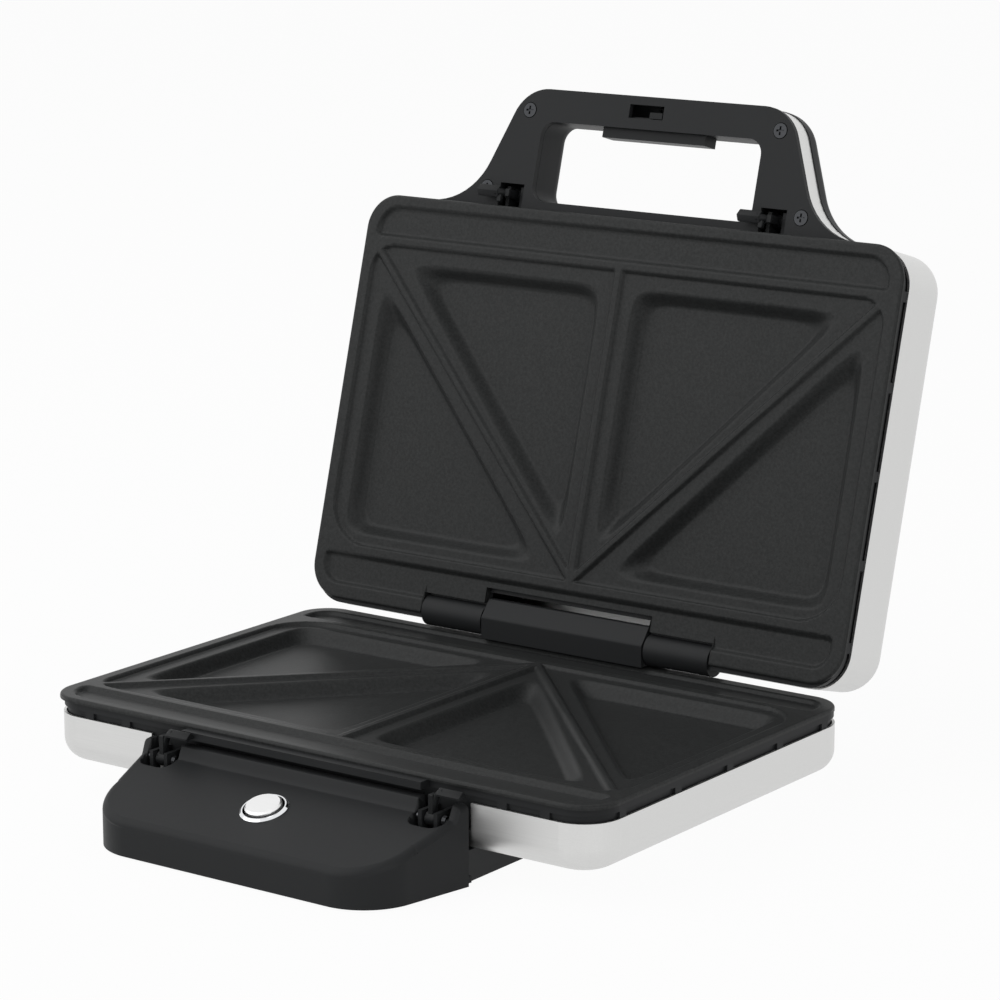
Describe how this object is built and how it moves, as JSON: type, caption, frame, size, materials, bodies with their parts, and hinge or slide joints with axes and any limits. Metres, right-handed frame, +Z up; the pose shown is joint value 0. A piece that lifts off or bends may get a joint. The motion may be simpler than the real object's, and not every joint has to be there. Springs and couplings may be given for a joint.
{
  "type": "sandwich toaster",
  "caption": "Countertop sandwich toaster with a hinged lid, stepped triangular cooking wells split by diagonal ribs, a steel casing and a black carry handle.",
  "frame": {"origin": "middle of the flat underside of the base, halfway along the casings from front to back; the rubber feet stand 0.8 mm below it", "axes": "+X along the hinge towards the right seen from the front, -Y towards the front with the button and handle, +Z up"},
  "size_m": [0.2512, 0.286, 0.249],
  "materials": {
    "steel": "satin brushed",
    "black_plastic": "fine grained",
    "nonstick": "dark non-stick coating with a fine speckle",
    "element_sheath": "heat-stained",
    "bright_sheet": "bright mill",
    "ceramic": "unglazed",
    "foot_rubber": "matt",
    "chrome_ring": "polished",
    "button_steel": "fine satin",
    "spring_steel": "drawn wire",
    "latch_plastic": "fine grained",
    "screw_black": "black"
  },
  "bodies": {
    "base": {"base_pan": "steel", "base_frame": "black_plastic", "lower_plate": "nonstick", "lower_element": "element_sheath", "lower_reflector": "bright_sheet", "thermostat": "ceramic", "front_block": "black_plastic", "base_spine": "black_plastic", "foot_pads": "foot_rubber", "button_ring": "chrome_ring", "button_spring": "spring_steel", "power_switch": "black_plastic", "rear_block": "black_plastic", "cord_gland": "foot_rubber", "base_screws": "spring_steel", "terminal_block": "ceramic", "base_latch_pins": "spring_steel", "base_latch_springs": "spring_steel"},
    "lid": {"lid_shell": "steel", "lid_frame": "black_plastic", "upper_plate": "nonstick", "upper_element": "element_sheath", "upper_reflector": "bright_sheet", "handle_inner": "black_plastic", "handle_trim": "steel", "handle_outer": "black_plastic", "handle_screws": "screw_black", "hinge_pins": "spring_steel", "squeeze_spring": "spring_steel", "lid_latch_pins": "spring_steel", "lid_latch_springs": "spring_steel"},
    "button": {"button_cap": "button_steel"},
    "squeeze_bar": {"squeeze_bar": "latch_plastic"},
    "base_latch_left": {"base_latch_left": "latch_plastic"},
    "base_latch_right": {"base_latch_right": "latch_plastic"},
    "lid_latch_left": {"lid_latch_left": "latch_plastic"},
    "lid_latch_right": {"lid_latch_right": "latch_plastic"}
  },
  "joints": [
    {"name": "lid_hinge", "type": "hinge", "parent": "base", "child": "lid", "pos_m": [0, 0.0795, 0.0439], "axis": [1, 0, 0], "range_deg": [0, 105.6]},
    {"name": "button_press", "type": "slide", "parent": "base", "child": "button", "axis": [0, 0.2924, -0.9563], "range_m": [0, 0.002], "stiffness_N_per_m": 300, "springref_m": -0.002, "deforming": ["button_spring"]},
    {"name": "squeeze", "type": "slide", "parent": "lid", "child": "squeeze_bar", "axis": [0, 0.2689, 0.9632], "range_m": [0, 0.002], "stiffness_N_per_m": 600, "springref_m": -0.002, "deforming": ["squeeze_spring"]},
    {"name": "base_latch_left_swing", "type": "hinge", "parent": "base", "child": "base_latch_left", "pos_m": [-0.0615, -0.0898, 0.0239], "axis": [1, 0, 0], "range_deg": [0, 12], "stiffness_Nm_per_rad": 0.05, "springref_deg": -17.19},
    {"name": "base_latch_right_swing", "type": "hinge", "parent": "base", "child": "base_latch_right", "pos_m": [0.0615, -0.0898, 0.0239], "axis": [1, 0, 0], "range_deg": [0, 12], "stiffness_Nm_per_rad": 0.05, "springref_deg": -17.19},
    {"name": "lid_latch_left_swing", "type": "hinge", "parent": "lid", "child": "lid_latch_left", "pos_m": [-0.0615, 0.13196, 0.20503], "axis": [-1, 0, 0], "range_deg": [0, 12], "stiffness_Nm_per_rad": 0.05, "springref_deg": -17.19},
    {"name": "lid_latch_right_swing", "type": "hinge", "parent": "lid", "child": "lid_latch_right", "pos_m": [0.0615, 0.13196, 0.20503], "axis": [-1, 0, 0], "range_deg": [0, 12], "stiffness_Nm_per_rad": 0.05, "springref_deg": -17.19}
  ]
}
